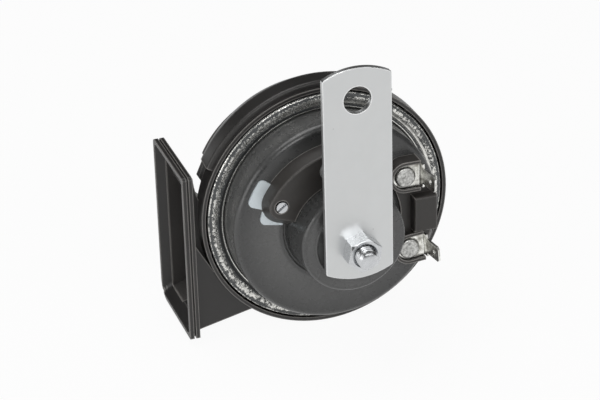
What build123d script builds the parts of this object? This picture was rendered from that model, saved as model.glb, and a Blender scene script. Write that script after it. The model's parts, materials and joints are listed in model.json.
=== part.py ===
from build123d import *
import os
from math import cos, radians, sin, sqrt, tan

os.makedirs("parts", exist_ok=True)

# Sizes are in millimetres and angles in degrees.
# The horn's axis is the Y axis. The bracket side faces -Y and the mouth faces -X.
# A height h is measured from the trumpet's rim face towards the bracket, so it lies at y = -h.
# Plan angles are seen from the bracket side, from +X towards +Z.

# Sheet-metal pan of the sounder
SHEET = 1.2
PAN_WALL_R = 40.2
PAN_SHELF_H = 13.4
PAN_SHELF_ROUND = 2.5
PAN_LIP_R = 22.0
PAN_LIP_H = 14.7
GROOVE_DEPTH = 0.7
CUP_FOOT_R = 21.0
CUP_TOP_R = 20.0
CUP_TOP_H = 31.5
CUP_ROUND = 1.6
CUP_RIDGE_R = 15.0
CUP_RIDGE_W = 1.6
CUP_RIDGE_RISE = 0.5

# Crimped rim of the sounder: pan flange, gaskets and diaphragm in a rolled ring
CRIMP_R = 46.65
CRIMP_SHEET = 1.0
CRIMP_REAR_LIP_W = 6.15
CRIMP_REAR_H = 0.2
CRIMP_CREST_RISE = 0.5
CRIMP_CREST_W = 2.4
CRIMP_FRONT_LIP_W = 4.15
CRIMP_BEND_R = 1.0
GASKET_T = 0.5
GASKET_W = 3.5
DIAPHRAGM_T = 0.3
RETAINER_T = 0.6
CRIMP_FIT = 0.05
DIAPHRAGM_WAVE_R = 27.0
DIAPHRAGM_WAVE_W = 5.0
DIAPHRAGM_WAVE_RISE = 0.8

# Magnet and armature
CORE_R = 8.0
STUD_R = 4.0
STUD_FIT = 0.2
STUD_PROUD = 4.1
STUD_CHAMFER = 0.8
POLE_PLATE_T = 3.2
POLE_GAP = 0.6
ARMATURE_R = 9.3
AIR_GAP = 0.8
CORE_FIT = 0.15
BOBBIN_WALL = 1.2
BOBBIN_FLANGE_T = 1.2
COIL_R = 16.4
ARMATURE_WASHER_R = 12.0
ARMATURE_WASHER_T = 1.0
STEM_R = 3.0
STEM_HEAD_R = 4.6
STEM_HEAD_T = 1.1

# Contact breaker
COLLAR_R = 14.8
COLLAR_T = 1.2
COLLAR_H = 6.2
COLLAR_GAP = 0.15
SPRING_T = 0.35
SPRING_R = 28.0
SPRING_W = 7.0
SPRING_LUG_R = 12.8
SPRING_LUG_START = 96.0
SPRING_END = 110.0
CARRIER_T = 1.0
CARRIER_END = 157.0
BREAKER_START = 24.0
BREAKER_BLOCK_END = 43.0
CONTACT_R = 2.2
CONTACT_T = 0.9
CONTACT_ANGLE = 103.0
PAD_R = 2.6
PAD_T = 1.0

# Terminals and their rivets
RIVET_R_PLACE = 29.6
RIVET_MID_ANGLE = 3.0
RIVET_HALF_ANGLE = 30.6
RIVET_SHANK_R = 2.0
RIVET_HEAD_R = 4.05
RIVET_HEAD_T = 1.5
RIVET_HEAD_ROUND = 1.0
RIVET_TAIL_R = 3.2
RIVET_TAIL_T = 1.2
TERMINAL_T = 0.8
TERMINAL_W = 9.3
TERMINAL_REACH = 6.7
BLADE_W = 6.3
BLADE_LENGTH = 12.2
BLADE_LEAN = 7.0
BLADE_SHOULDER = 2.4
BLADE_POINT = 1.0
BLADE_HOLE_R = 0.9
BLADE_HOLE_PLACE = 9.0
TERMINAL_BEND_R = 0.5
LOWER_TERMINAL_TURN = 5.0

# Terminal block
BLOCK_FLOOR_H = 17.7
BLOCK_BASE_H = 17.0
POCKET_WALL_H = 20.0
POCKET_WALL = 1.3
POCKET_FIT = 0.25
BLOCK_TOP_H = 21.5
BLOCK_INNER_R = 23.7
BLOCK_FACE_X = 27.5
BLOCK_OUTER_X = 36.7
BLOCK_LOW_Z = -6.4
BLOCK_HIGH_Z = 7.9
BLOCK_ROUND = 0.8
BLOCK_START = -20.0
BLOCK_END = 24.0
BOSS_WALL = 1.1
BOSS_FIT = 0.1

# Adjuster cover, its plate and screw
COVER_TOP_H = 21.5
COVER_FOOT_R = 33.6
COVER_START = 94.0
COVER_END = 167.0
COVER_TOP_R = 32.8
COVER_HOLLOW_MARGIN = 2.4
COVER_WALL = 1.6
COVER_ROUND = 0.8
COVER_END_ROUND = 8.0
SCREW_PLACE_R = 28.3
SCREW_ANGLE = 149.6
SCREW_R = 2.15
SCREW_RISE = 0.6
SCREW_SLOT_W = 0.8
SCREW_SLOT_DEPTH = 1.1
SCREW_SLOT_ANGLE = 38.0
SCREW_FIT = 0.1
SCREW_BOSS_R = 4.2
COVER_RIVET_R_PLACE = 26.5
COVER_RIVET_ANGLE = 102.0
ADJUSTER_PLATE_T = 0.8
ADJUSTER_PLATE_R = 37.7
ADJUSTER_PLATE_START = 141.5
ADJUSTER_PLATE_MID = 159.5
ADJUSTER_PLATE_END = 170.6
ADJUSTER_STRIP_R = 31.4
ADJUSTER_ROUND = 2.0
SEAT_FIT = 0.03

# Mounting bracket and its nut
BRACKET_T = 2.3
BRACKET_W = 26.0
BRACKET_TOP_Z = 68.2
BRACKET_LOW_Z = -8.8
BRACKET_END_RISE = 3.4
BRACKET_CORNER_R = 1.0
BRACKET_EDGE_R = 0.3
MOUNT_HOLE_R = 5.25
MOUNT_HOLE_Z = 59.2
SPACER_R = 10.0
SPACER_T = 2.8
NUT_FLATS = 12.0
NUT_H = 6.3
NUT_TURN = 19.0
THREAD_FIT = 0.02

# Trumpet: rim and cup that hold the sounder
RIM_R = 48.8
RIM_WALL = 1.5
RIM_STEP = 1.3
MOULD_WALL = 1.8
SEAL_T = 1.0
SEAL_W = 3.4
SEAL_INSET = 0.75
RIB_COUNT = 12
RIB_W = 1.2
RIB_PRESS = 0.05
RIB_TOP_H = -2.0
THROAT_R = 5.5

# Trumpet: outer band, spiral duct and front cover
BAND_RISE = 2.5
BAND_START = 57.0
BAND_END = 153.0
BAND_ROUND = 1.2
BAND_DRAFT = 0.8
BAND_SIDE_ROUND = 6.0
BODY_DEPTH = 21.7
DUCT_R = 43.2
DUCT_START = 155.0
DUCT_START_W = 9.0
DUCT_END_W = 19.5
SPIRAL_POINTS = 9
THROAT_CHANNEL_W = 10.0
THROAT_CHANNEL_ANGLE = 158.0
THROAT_CHANNEL_R = 42.0
COVER_SLOPE_X = 0.07
COVER_SLOPE_Z = -0.13
COVER_DEPTH = 30.0
MOUTH_ROOT_DEPTH = 31.6
MOUTH_SLOPE_X = -0.2
COVER_EDGE_R = 1.5

# Trumpet: mouth
MOUTH_FRONT_X = -55.7
MOUTH_FLANGE_T = 4.0
MOUTH_TOP_Z = 21.5
MOUTH_LOW_Z = -46.0
MOUTH_NEAR_H = 0.5
MOUTH_FAR_H = -38.5
MOUTH_LIP = 1.3
MOUTH_FAR_CORNER_R = 7.0
MOUTH_CORNER_R = 1.6
MOUTH_INNER_R = 2.0
GROOVE_PLACE = 1.7
GROOVE_W = 0.7
GROOVE_CUT = 0.7
DUCT_DEPTH = 37.6
CUT_OVERRUN = 0.1
DUCT_LOW_SLOPE = 12.7
FLARE_START_RUN = 30.0
FLARE_KNEE_RUN = 14.0
FLARE_RISE_RUN = 5.5
FLARE_RISE_Z = 1.0
SIDE_WALL_LOW_Z = -43.5
SIDE_WALL_TOP_Z = -7.0
SIDE_WALL_TOP_SLOPE = 61.0
SIDE_WALL_INSET = 11.0

# Heights and places that follow from the sizes above
MOUTH_BACK_X = MOUTH_FRONT_X + MOUTH_FLANGE_T
DUCT_END = DUCT_LOW_SLOPE - 90
DUCT_END_R = (
    MOUTH_BACK_X * sin(radians(DUCT_LOW_SLOPE))
    - SIDE_WALL_LOW_Z * cos(radians(DUCT_LOW_SLOPE))
    - MOULD_WALL
)
CUP_R = RIM_R - RIM_WALL
BAND_R = RIM_R + BAND_RISE
FLANGE_REAR_H = CRIMP_REAR_H - CRIMP_SHEET
REAR_GASKET_H = FLANGE_REAR_H - SHEET
DIAPHRAGM_H = REAR_GASKET_H - GASKET_T
FRONT_GASKET_H = DIAPHRAGM_H - DIAPHRAGM_T
RETAINER_H = FRONT_GASKET_H - GASKET_T
CRIMP_FRONT_INNER_H = RETAINER_H - RETAINER_T
CRIMP_FRONT_H = CRIMP_FRONT_INNER_H - CRIMP_SHEET
CUP_FLOOR_H = CRIMP_FRONT_H - SEAL_T
DUCT_REAR_H = CUP_FLOOR_H - MOULD_WALL
CRIMP_POCKET_R = CRIMP_R - CRIMP_SHEET
CRIMP_REAR_LIP_R = CRIMP_R - CRIMP_REAR_LIP_W
CRIMP_FRONT_LIP_R = CRIMP_R - CRIMP_FRONT_LIP_W
PACK_R = CRIMP_POCKET_R - CRIMP_FIT
GROOVE_H = PAN_LIP_H - GROOVE_DEPTH
CUP_INNER_TOP_H = CUP_TOP_H - SHEET
POLE_PLATE_H = GROOVE_H - SHEET
CORE_FACE_H = POLE_PLATE_H + POLE_PLATE_T
ARMATURE_LOW_H = DIAPHRAGM_H + ARMATURE_WASHER_T
ARMATURE_TOP_H = CORE_FACE_H - AIR_GAP
SPRING_H = COLLAR_H + COLLAR_T + COLLAR_GAP
SPRING_INNER_R = SPRING_R - SPRING_W / 2
SPRING_OUTER_R = SPRING_R + SPRING_W / 2
CARRIER_TOP_H = SPRING_H - 2 * CONTACT_T
CARRIER_H = CARRIER_TOP_H - CARRIER_T
BRACKET_BACK_H = CUP_TOP_H + SPACER_T
BRACKET_FRONT_H = BRACKET_BACK_H + BRACKET_T
STUD_END_H = BRACKET_FRONT_H + NUT_H + STUD_PROUD
MOUNT_PLACE = (0.0, -BRACKET_FRONT_H, MOUNT_HOLE_Z)


def polar(radius, angle):
    """Plan point at a radius and an angle about the horn's axis."""
    return (radius * cos(radians(angle)), radius * sin(radians(angle)))


UPPER_RIVET = polar(RIVET_R_PLACE, RIVET_MID_ANGLE + RIVET_HALF_ANGLE)
LOWER_RIVET = polar(RIVET_R_PLACE, RIVET_MID_ANGLE - RIVET_HALF_ANGLE)
SCREW_PLACE = polar(SCREW_PLACE_R, SCREW_ANGLE)
COVER_RIVET = polar(COVER_RIVET_R_PLACE, COVER_RIVET_ANGLE)
CONTACT_PLACE = polar(SPRING_R, CONTACT_ANGLE)


def turned(points, rounds=None):
    """Solid of revolution about the horn's axis from (radius, height) points."""
    section = [(radius, -height) for radius, height in points]
    if rounds is None:
        outline = Polyline(*section, close=True)
    else:
        outline = FilletPolyline(*section, radius=rounds, close=True)
    return revolve(make_face(outline), Axis.Y)


def ring(inner_r, outer_r, low, high):
    """Plain ring about the horn's axis."""
    return turned([(inner_r, low), (outer_r, low), (outer_r, high), (inner_r, high)])


def plan_plane(height):
    """Plane across the axis: local X is +X, local Y is +Z, and it faces the bracket side."""
    return Plane(origin=(0, -height, 0), x_dir=(1, 0, 0), z_dir=(0, -1, 0))


def raised(outline, low, high):
    """Plan outline extruded from one height to another."""
    return extrude(plan_plane(low) * outline, high - low)


def peg(place, radius, low, high):
    """Cylinder parallel to the axis at a plan point."""
    return raised(Pos(*place) * Circle(radius), low, high)


def sector(inner_r, outer_r, start, end):
    """Plan face of an arc-shaped strip."""
    outer = CenterArc((0, 0), outer_r, start, end - start)
    inner = CenterArc((0, 0), inner_r, start, end - start)
    sides = [Line(outer @ 0, inner @ 0), Line(outer @ 1, inner @ 1)]
    return make_face([outer, inner] + sides)


def cup_wall_r(height):
    """Outer radius of the coil cup's tapered wall."""
    share = (height - GROOVE_H) / (CUP_TOP_H - GROOVE_H)
    return CUP_FOOT_R + share * (CUP_TOP_R - CUP_FOOT_R)


def shelf_h(radius):
    """Height of the pan's sloping shelf."""
    share = (radius - PAN_LIP_R) / (PAN_WALL_R - PAN_LIP_R)
    return PAN_LIP_H + share * (PAN_SHELF_H - PAN_LIP_H)


# ---------------------------------------------------------------- sounder

def pan_body(skin, base=FLANGE_REAR_H):
    """Solid inside the pan's outer face, taken in by a skin thickness."""
    points = [
        (0, base),
        (0, CUP_TOP_H - skin),
        (CUP_TOP_R - skin, CUP_TOP_H - skin),
        (CUP_FOOT_R - skin, GROOVE_H - skin),
        (PAN_LIP_R + skin, GROOVE_H - skin),
        (PAN_LIP_R + skin, PAN_LIP_H - skin),
        (PAN_WALL_R - skin, PAN_SHELF_H - skin),
        (PAN_WALL_R - skin, base),
    ]
    rounds = [0, 0, CUP_ROUND - skin, 0, 0, 0.2, PAN_SHELF_ROUND - skin, 0]
    return turned(points, rounds)


def housing_pan():
    flange = ring(PAN_WALL_R - 2 * SHEET, PACK_R, REAR_GASKET_H, FLANGE_REAR_H)
    ridge = turned([
        (CUP_RIDGE_R - CUP_RIDGE_W / 2, CUP_TOP_H - SHEET / 2),
        (CUP_RIDGE_R - CUP_RIDGE_W / 2, CUP_TOP_H),
        (CUP_RIDGE_R, CUP_TOP_H + CUP_RIDGE_RISE),
        (CUP_RIDGE_R + CUP_RIDGE_W / 2, CUP_TOP_H),
        (CUP_RIDGE_R + CUP_RIDGE_W / 2, CUP_TOP_H - SHEET / 2),
    ])
    pan = pan_body(0) + flange - pan_body(SHEET, REAR_GASKET_H) + ridge
    pan -= ring(0, STUD_R + STUD_FIT, CUP_INNER_TOP_H - SHEET, CUP_TOP_H + SHEET)
    for place in (UPPER_RIVET, LOWER_RIVET):
        pan -= peg(place, boss_r() + BOSS_FIT, 0, PAN_LIP_H + SHEET)
    pan -= peg(SCREW_PLACE, SCREW_R + SCREW_FIT, 0, PAN_LIP_H + SHEET)
    pan -= peg(COVER_RIVET, RIVET_SHANK_R + THREAD_FIT, 0, PAN_LIP_H + SHEET)
    return pan


def crimp_ring():
    crest_h = CRIMP_REAR_H + CRIMP_CREST_RISE
    crest_mid = CRIMP_R - CRIMP_BEND_R - CRIMP_CREST_W / 2
    points = [
        (CRIMP_REAR_LIP_R, FLANGE_REAR_H),
        (CRIMP_REAR_LIP_R, CRIMP_REAR_H),
        (crest_mid - CRIMP_CREST_W, CRIMP_REAR_H),
        (crest_mid, crest_h),
        (CRIMP_R, crest_h - CRIMP_CREST_RISE / 2),
        (CRIMP_R, CRIMP_FRONT_H),
        (CRIMP_FRONT_LIP_R, CRIMP_FRONT_H),
        (CRIMP_FRONT_LIP_R, CRIMP_FRONT_INNER_H),
        (CRIMP_POCKET_R, CRIMP_FRONT_INNER_H),
        (CRIMP_POCKET_R, FLANGE_REAR_H),
    ]
    rounds = [0, 0.3, 0.5, 0.5, CRIMP_BEND_R, CRIMP_BEND_R, 0.3, 0, 0, 0]
    return turned(points, rounds)


def diaphragm():
    """Thin steel disc with one pressed wave between its rim and its centre."""
    wave = DIAPHRAGM_WAVE_R
    half = DIAPHRAGM_WAVE_W / 2
    rise = DIAPHRAGM_WAVE_RISE
    top = [
        (STEM_R, DIAPHRAGM_H),
        (wave - half, DIAPHRAGM_H),
        (wave, DIAPHRAGM_H + rise),
        (wave + half, DIAPHRAGM_H),
        (PACK_R, DIAPHRAGM_H),
    ]
    low = [(radius, height - DIAPHRAGM_T) for radius, height in reversed(top)]
    return turned(top + low)


def gasket(top_h):
    return ring(PACK_R - GASKET_W, PACK_R, top_h - GASKET_T, top_h)


def retainer_ring():
    return ring(PACK_R - GASKET_W, PACK_R, RETAINER_H - RETAINER_T, RETAINER_H)


# ---------------------------------------------------------------- magnet

def core_stud():
    """Magnet core and bracket stud, turned from one bar."""
    core = ring(0, CORE_R, CORE_FACE_H, CUP_INNER_TOP_H)
    stud = peg((0, 0), STUD_R, CUP_INNER_TOP_H, STUD_END_H)
    tip = stud.faces().sort_by(Axis.Y)[0]
    return core + chamfer(tip.edges(), STUD_CHAMFER)


def bobbin_r():
    """Outer radius of the coil bobbin's flanges, clear of the cup's inner corner."""
    return CUP_TOP_R - SHEET - CUP_ROUND / 2


def coil_bobbin():
    inner = CORE_R + CORE_FIT
    low = CORE_FACE_H
    high = CUP_INNER_TOP_H - CORE_FIT
    tube = ring(inner, inner + BOBBIN_WALL, low, high)
    low_flange = ring(inner, bobbin_r(), low, low + BOBBIN_FLANGE_T)
    high_flange = ring(inner, bobbin_r(), high - BOBBIN_FLANGE_T, high)
    return tube + low_flange + high_flange


def coil_winding():
    inner = CORE_R + CORE_FIT + BOBBIN_WALL
    low = CORE_FACE_H + BOBBIN_FLANGE_T
    high = CUP_INNER_TOP_H - CORE_FIT - BOBBIN_FLANGE_T
    return ring(inner, COIL_R, low, high)


def pole_plate():
    """Steel ring pressed into the cup's foot. It holds the bobbin and faces the armature."""
    outer = cup_wall_r(CORE_FACE_H + SHEET) - SHEET - SEAT_FIT
    return ring(ARMATURE_R + POLE_GAP, outer, POLE_PLATE_H, CORE_FACE_H)


def armature():
    """Steel slug with a stem that is riveted over in front of the diaphragm."""
    slug = ring(0, ARMATURE_R, ARMATURE_LOW_H, ARMATURE_TOP_H)
    stem = ring(0, STEM_R, FRONT_GASKET_H - STEM_HEAD_T, ARMATURE_LOW_H)
    head = ring(0, STEM_HEAD_R, FRONT_GASKET_H - STEM_HEAD_T, FRONT_GASKET_H)
    return slug + stem + head


def armature_washer():
    return ring(STEM_R, ARMATURE_WASHER_R, DIAPHRAGM_H, ARMATURE_LOW_H)


def armature_collar():
    """Insulating ring that lifts the moving contact."""
    return ring(ARMATURE_R, COLLAR_R, COLLAR_H, COLLAR_H + COLLAR_T)


# ---------------------------------------------------------------- contact breaker

def moving_contact_spring():
    strip = sector(SPRING_INNER_R, SPRING_OUTER_R, BREAKER_START, SPRING_END)
    lug = sector(SPRING_LUG_R, SPRING_INNER_R, SPRING_LUG_START, SPRING_END)
    spring = raised(strip + lug, SPRING_H, SPRING_H + SPRING_T)
    return spring - peg(UPPER_RIVET, boss_r() + BOSS_FIT, CARRIER_H, PAN_LIP_H)


def fixed_contact_carrier():
    strip = sector(SPRING_INNER_R, SPRING_OUTER_R, BREAKER_START, CARRIER_END)
    carrier = raised(strip, CARRIER_H, CARRIER_TOP_H)
    return carrier - peg(UPPER_RIVET, RIVET_SHANK_R, CARRIER_H - 1, PAN_LIP_H)


def breaker_spacer():
    """Insulating block that hangs the moving contact spring below the pan's shelf."""
    outline = sector(SPRING_INNER_R, SPRING_OUTER_R, BREAKER_START, BREAKER_BLOCK_END)
    block = raised(outline, SPRING_H + SPRING_T, PAN_LIP_H) & pan_body(SHEET + SEAT_FIT)
    return block - peg(UPPER_RIVET, boss_r() + BOSS_FIT, 0, PAN_LIP_H)


def breaker_insulator():
    """Insulating plate between the moving contact spring and the fixed contact carrier."""
    outline = sector(SPRING_INNER_R, SPRING_OUTER_R, BREAKER_START, BREAKER_BLOCK_END)
    block = raised(outline, CARRIER_TOP_H, SPRING_H)
    return block - peg(UPPER_RIVET, RIVET_SHANK_R, 0, PAN_LIP_H)


def adjuster_pad():
    return peg(SCREW_PLACE, PAD_R, CARRIER_TOP_H, CARRIER_TOP_H + PAD_T)


# ---------------------------------------------------------------- terminals

def boss_r():
    """Outer radius of the insulating boss round each terminal rivet."""
    return RIVET_SHANK_R + BOSS_WALL


def terminal_frame(place, turn):
    """Location of a terminal: its rivet, with local X pointing out along the plate."""
    return Location((place[0], 0, place[1]), (0, -turn, 0))


def tongue(half_width, reach):
    """Round-ended plan outline from a rivet out along local X."""
    strip = Pos(reach / 2, 0) * Rectangle(reach, 2 * half_width)
    return Circle(half_width) + strip


def terminal(place, turn):
    """Blade terminal: a riveted plate bent up into a flat tab."""
    lean = radians(BLADE_LEAN)
    low = BLOCK_FLOOR_H
    corner = (TERMINAL_REACH, -low)
    tip = (TERMINAL_REACH + BLADE_LENGTH * sin(lean), -low - BLADE_LENGTH * cos(lean))
    inner_tip = (tip[0] - TERMINAL_T * cos(lean), tip[1] - TERMINAL_T * sin(lean))
    rise = TERMINAL_T * (1 - sin(lean)) / cos(lean)
    inner_corner = (
        TERMINAL_REACH - TERMINAL_T * cos(lean) + rise * sin(lean),
        -low - TERMINAL_T,
    )
    section = FilletPolyline(
        (0, -low), corner, tip, inner_tip, inner_corner, (0, -low - TERMINAL_T),
        radius=[0, TERMINAL_BEND_R + TERMINAL_T, 0, 0, TERMINAL_BEND_R, 0],
        close=True,
    )
    strip = extrude(make_face(section), TERMINAL_W / 2, both=True)
    round_end = raised(Circle(TERMINAL_W / 2), low, low + TERMINAL_T)
    blade_plane = Plane(
        origin=(corner[0], corner[1], 0),
        x_dir=(0, 0, 1),
        z_dir=(cos(lean), sin(lean), 0),
    )
    shape = strip + round_end
    half = BLADE_W / 2
    for side in (-1, 1):
        waste = Polyline(
            (side * TERMINAL_W, BLADE_SHOULDER),
            (side * half, BLADE_SHOULDER + TERMINAL_T),
            (side * half, BLADE_LENGTH - BLADE_POINT),
            (side * (half - BLADE_POINT), BLADE_LENGTH),
            (side * (half - BLADE_POINT), BLADE_LENGTH + 1),
            (side * TERMINAL_W, BLADE_LENGTH + 1),
            close=True,
        )
        shape -= extrude(blade_plane * make_face(waste), 3 * TERMINAL_T, both=True)
    hole = Pos(0, BLADE_HOLE_PLACE) * Circle(BLADE_HOLE_R)
    shape -= extrude(blade_plane * hole, 3 * TERMINAL_T, both=True)
    shape -= peg((0, 0), RIVET_SHANK_R, low - 1, low + TERMINAL_T + 1)
    return terminal_frame(place, turn) * shape


def headed_rivet(place, low, high, tail_r):
    """Rivet from its set tail's seat to the seat of its domed head."""
    shank = peg(place, RIVET_SHANK_R, low, high)
    head = peg(place, RIVET_HEAD_R, high, high + RIVET_HEAD_T)
    head = fillet(head.faces().sort_by(Axis.Y)[0].edges(), RIVET_HEAD_ROUND)
    tail = peg(place, tail_r, low - RIVET_TAIL_T, low)
    return shank + head + tail


def boss_low_h():
    """Height of the pan's inner face at the terminal rivets."""
    return shelf_h(RIVET_R_PLACE) - SHEET


def upper_rivet():
    return headed_rivet(UPPER_RIVET, CARRIER_H, BLOCK_FLOOR_H + TERMINAL_T, RIVET_TAIL_R)


def rivet_washer():
    """Insulating washer under the pan at the lower rivet, for the coil's lead."""
    washer = peg(LOWER_RIVET, boss_r() + 2 * BOSS_WALL, boss_low_h() - 2 * SHEET, PAN_LIP_H)
    washer = washer & pan_body(SHEET + SEAT_FIT)
    return washer - peg(LOWER_RIVET, boss_r() + BOSS_FIT, 0, PAN_LIP_H)


def lower_rivet():
    return headed_rivet(
        LOWER_RIVET, boss_low_h() - 2 * SHEET, BLOCK_FLOOR_H + TERMINAL_T, RIVET_HEAD_R
    )


def terminal_block():
    outer = TERMINAL_W / 2 + POCKET_FIT + POCKET_WALL
    inner = TERMINAL_W / 2 + POCKET_FIT
    face = Pos(
        (BLOCK_FACE_X + BLOCK_OUTER_X) / 2, (BLOCK_LOW_Z + BLOCK_HIGH_Z) / 2
    ) * Rectangle(BLOCK_OUTER_X - BLOCK_FACE_X, BLOCK_HIGH_Z - BLOCK_LOW_Z)
    base = sector(BLOCK_INNER_R, BLOCK_OUTER_X, BLOCK_START, BLOCK_END)
    block = raised(base, PAN_SHELF_H - SHEET, BLOCK_BASE_H)
    middle = raised(face, PAN_SHELF_H - SHEET, BLOCK_TOP_H)
    middle = fillet(middle.faces().sort_by(Axis.Y)[0].edges(), BLOCK_ROUND)
    block += middle
    for place, turn in ((UPPER_RIVET, 0), (LOWER_RIVET, LOWER_TERMINAL_TURN)):
        frame = terminal_frame(place, turn)
        reach = TERMINAL_REACH - TERMINAL_T
        block += frame * raised(tongue(outer, reach), PAN_SHELF_H - SHEET, POCKET_WALL_H)
    for place, turn in ((UPPER_RIVET, 0), (LOWER_RIVET, LOWER_TERMINAL_TURN)):
        frame = terminal_frame(place, turn)
        block -= frame * raised(tongue(inner, 2 * TERMINAL_REACH), BLOCK_FLOOR_H, BLOCK_TOP_H + 1)
    block -= ring(0, BLOCK_INNER_R - POCKET_WALL, 0, BLOCK_TOP_H + 1)
    block -= pan_body(-SEAT_FIT)
    for place in (UPPER_RIVET, LOWER_RIVET):
        block += peg(place, boss_r(), boss_low_h(), BLOCK_BASE_H)
        block -= peg(place, RIVET_SHANK_R, 0, BLOCK_TOP_H)
    return block


# ---------------------------------------------------------------- adjuster

def adjuster_plate_body(grown=0.0):
    """Plated plate that follows the shelf's slope beside and under the cover."""
    inner_r = PAN_LIP_R + SHEET / 2
    wide = sector(inner_r, ADJUSTER_PLATE_R + grown, ADJUSTER_PLATE_START, ADJUSTER_PLATE_MID)
    wide = fillet(wide.vertices().group_by(lambda v: v.X ** 2 + v.Y ** 2)[-1], ADJUSTER_ROUND)
    strip = sector(inner_r, ADJUSTER_STRIP_R + grown, ADJUSTER_PLATE_START, ADJUSTER_PLATE_END)
    corners = strip.vertices().group_by(lambda v: v.X ** 2 + v.Y ** 2)[-1].sort_by(Axis.Y)
    strip = fillet(corners[0], ADJUSTER_ROUND)
    plate = raised(wide + strip, PAN_SHELF_H - SHEET, PAN_LIP_H + 2 * SHEET)
    return plate & pan_body(-ADJUSTER_PLATE_T - grown)


def adjuster_plate():
    plate = adjuster_plate_body() - pan_body(0)
    return plate - peg(SCREW_PLACE, SCREW_R, 0, COVER_TOP_H)


def adjuster_cover():
    """Moulded arc-shaped cover that hugs the coil cup's wall."""
    foot_h = PAN_SHELF_H - SHEET
    inner_r = CUP_TOP_R - SHEET
    section = [
        (inner_r, foot_h),
        (COVER_FOOT_R, foot_h),
        (COVER_TOP_R, COVER_TOP_H),
        (inner_r, COVER_TOP_H),
    ]
    outline = sector(inner_r, COVER_FOOT_R, COVER_START, COVER_END)
    corners = outline.vertices().group_by(lambda v: v.X ** 2 + v.Y ** 2)[-1].sort_by(Axis.X)
    outline = fillet(corners[0], COVER_END_ROUND)
    cover = turned(section, [0, 0, COVER_ROUND, 0]) & raised(outline, foot_h, COVER_TOP_H)
    hollow = offset(outline, -COVER_HOLLOW_MARGIN) - Circle(cup_wall_r(PAN_LIP_H) + COVER_WALL)
    room = raised(hollow, 0, COVER_TOP_H - COVER_WALL)
    room -= peg(SCREW_PLACE, SCREW_BOSS_R, 0, COVER_TOP_H)
    room -= peg(COVER_RIVET, SCREW_BOSS_R, 0, COVER_TOP_H)
    cover -= room
    cover -= pan_body(-SEAT_FIT)
    cover -= adjuster_plate_body(SEAT_FIT)
    cover -= peg(SCREW_PLACE, SCREW_R + SCREW_FIT, 0, COVER_TOP_H + 1)
    return cover - peg(COVER_RIVET, RIVET_SHANK_R, 0, COVER_TOP_H + 1)


def cover_rivet():
    low = shelf_h(COVER_RIVET_R_PLACE + RIVET_TAIL_R) - SHEET - SEAT_FIT
    return headed_rivet(COVER_RIVET, low, COVER_TOP_H, RIVET_TAIL_R)


def adjusting_screw():
    top = COVER_TOP_H + SCREW_RISE
    screw = peg(SCREW_PLACE, SCREW_R, CARRIER_TOP_H + PAD_T, top)
    slot = Pos(*SCREW_PLACE) * Rot(0, 0, SCREW_SLOT_ANGLE) * Rectangle(3 * SCREW_R, SCREW_SLOT_W)
    return screw - raised(slot, top - SCREW_SLOT_DEPTH, top + 1)


# ---------------------------------------------------------------- bracket

def mounting_bracket():
    half = BRACKET_W / 2
    top = ThreePointArc(
        (-half, BRACKET_TOP_Z), (0, BRACKET_TOP_Z + BRACKET_END_RISE), (half, BRACKET_TOP_Z)
    )
    low = ThreePointArc(
        (half, BRACKET_LOW_Z), (0, BRACKET_LOW_Z - BRACKET_END_RISE), (-half, BRACKET_LOW_Z)
    )
    outline = make_face([top, Line(top @ 1, low @ 0), low, Line(low @ 1, top @ 0)])
    outline = fillet(outline.vertices(), BRACKET_CORNER_R)
    strap = raised(outline, BRACKET_BACK_H, BRACKET_FRONT_H)
    faces = strap.faces().sort_by(Axis.Y)
    strap = fillet(faces[0].edges() + faces[-1].edges(), BRACKET_EDGE_R)
    strap -= peg((0, MOUNT_HOLE_Z), MOUNT_HOLE_R, BRACKET_BACK_H - 1, BRACKET_FRONT_H + 1)
    return strap - peg((0, 0), STUD_R + STUD_FIT, BRACKET_BACK_H - 1, BRACKET_FRONT_H + 1)


def spacer_washer():
    return ring(STUD_R + STUD_FIT, SPACER_R, CUP_TOP_H, BRACKET_BACK_H)


def bracket_nut():
    corner_r = NUT_FLATS / sqrt(3)
    hexagon = Rot(0, 0, NUT_TURN) * RegularPolygon(corner_r, 6)
    nut = raised(hexagon, BRACKET_FRONT_H, BRACKET_FRONT_H + NUT_H)
    rise = (corner_r - NUT_FLATS / 2) * tan(radians(30))
    dome = turned([
        (0, BRACKET_FRONT_H),
        (corner_r, BRACKET_FRONT_H),
        (corner_r, BRACKET_FRONT_H + NUT_H - rise),
        (NUT_FLATS / 2, BRACKET_FRONT_H + NUT_H),
        (0, BRACKET_FRONT_H + NUT_H),
    ])
    return (nut & dome) - peg((0, 0), STUD_R + THREAD_FIT, BRACKET_BACK_H, STUD_END_H)


# ---------------------------------------------------------------- trumpet

def trumpet_seal():
    outer_r = CRIMP_R - SEAL_INSET
    return ring(outer_r - SEAL_W, outer_r, CUP_FLOOR_H, CRIMP_FRONT_H)


def mouth_low_z(x):
    """Lower edge of the duct's outer face between the spiral and the mouth."""
    return SIDE_WALL_LOW_Z + (x - MOUTH_BACK_X) * tan(radians(DUCT_LOW_SLOPE))


def spiral_curve(start_r, end_r):
    """Spiral wall that leaves one radius and joins the other smoothly, running clockwise."""
    points = []
    for index in range(SPIRAL_POINTS + 1):
        share = index / SPIRAL_POINTS
        eased = share * share * (3 - 2 * share)
        angle = DUCT_START + share * (DUCT_END - DUCT_START)
        points.append(polar(start_r + eased * (end_r - start_r), angle))
    return Spline(*points)


def beside(curve, distance):
    """Smooth curve at a distance to the right of another."""
    points = []
    for index in range(SPIRAL_POINTS + 1):
        share = index / SPIRAL_POINTS
        along = curve % share
        points.append(curve @ share + Vector(along.Y, -along.X) * distance)
    return Spline(*points)


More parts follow.
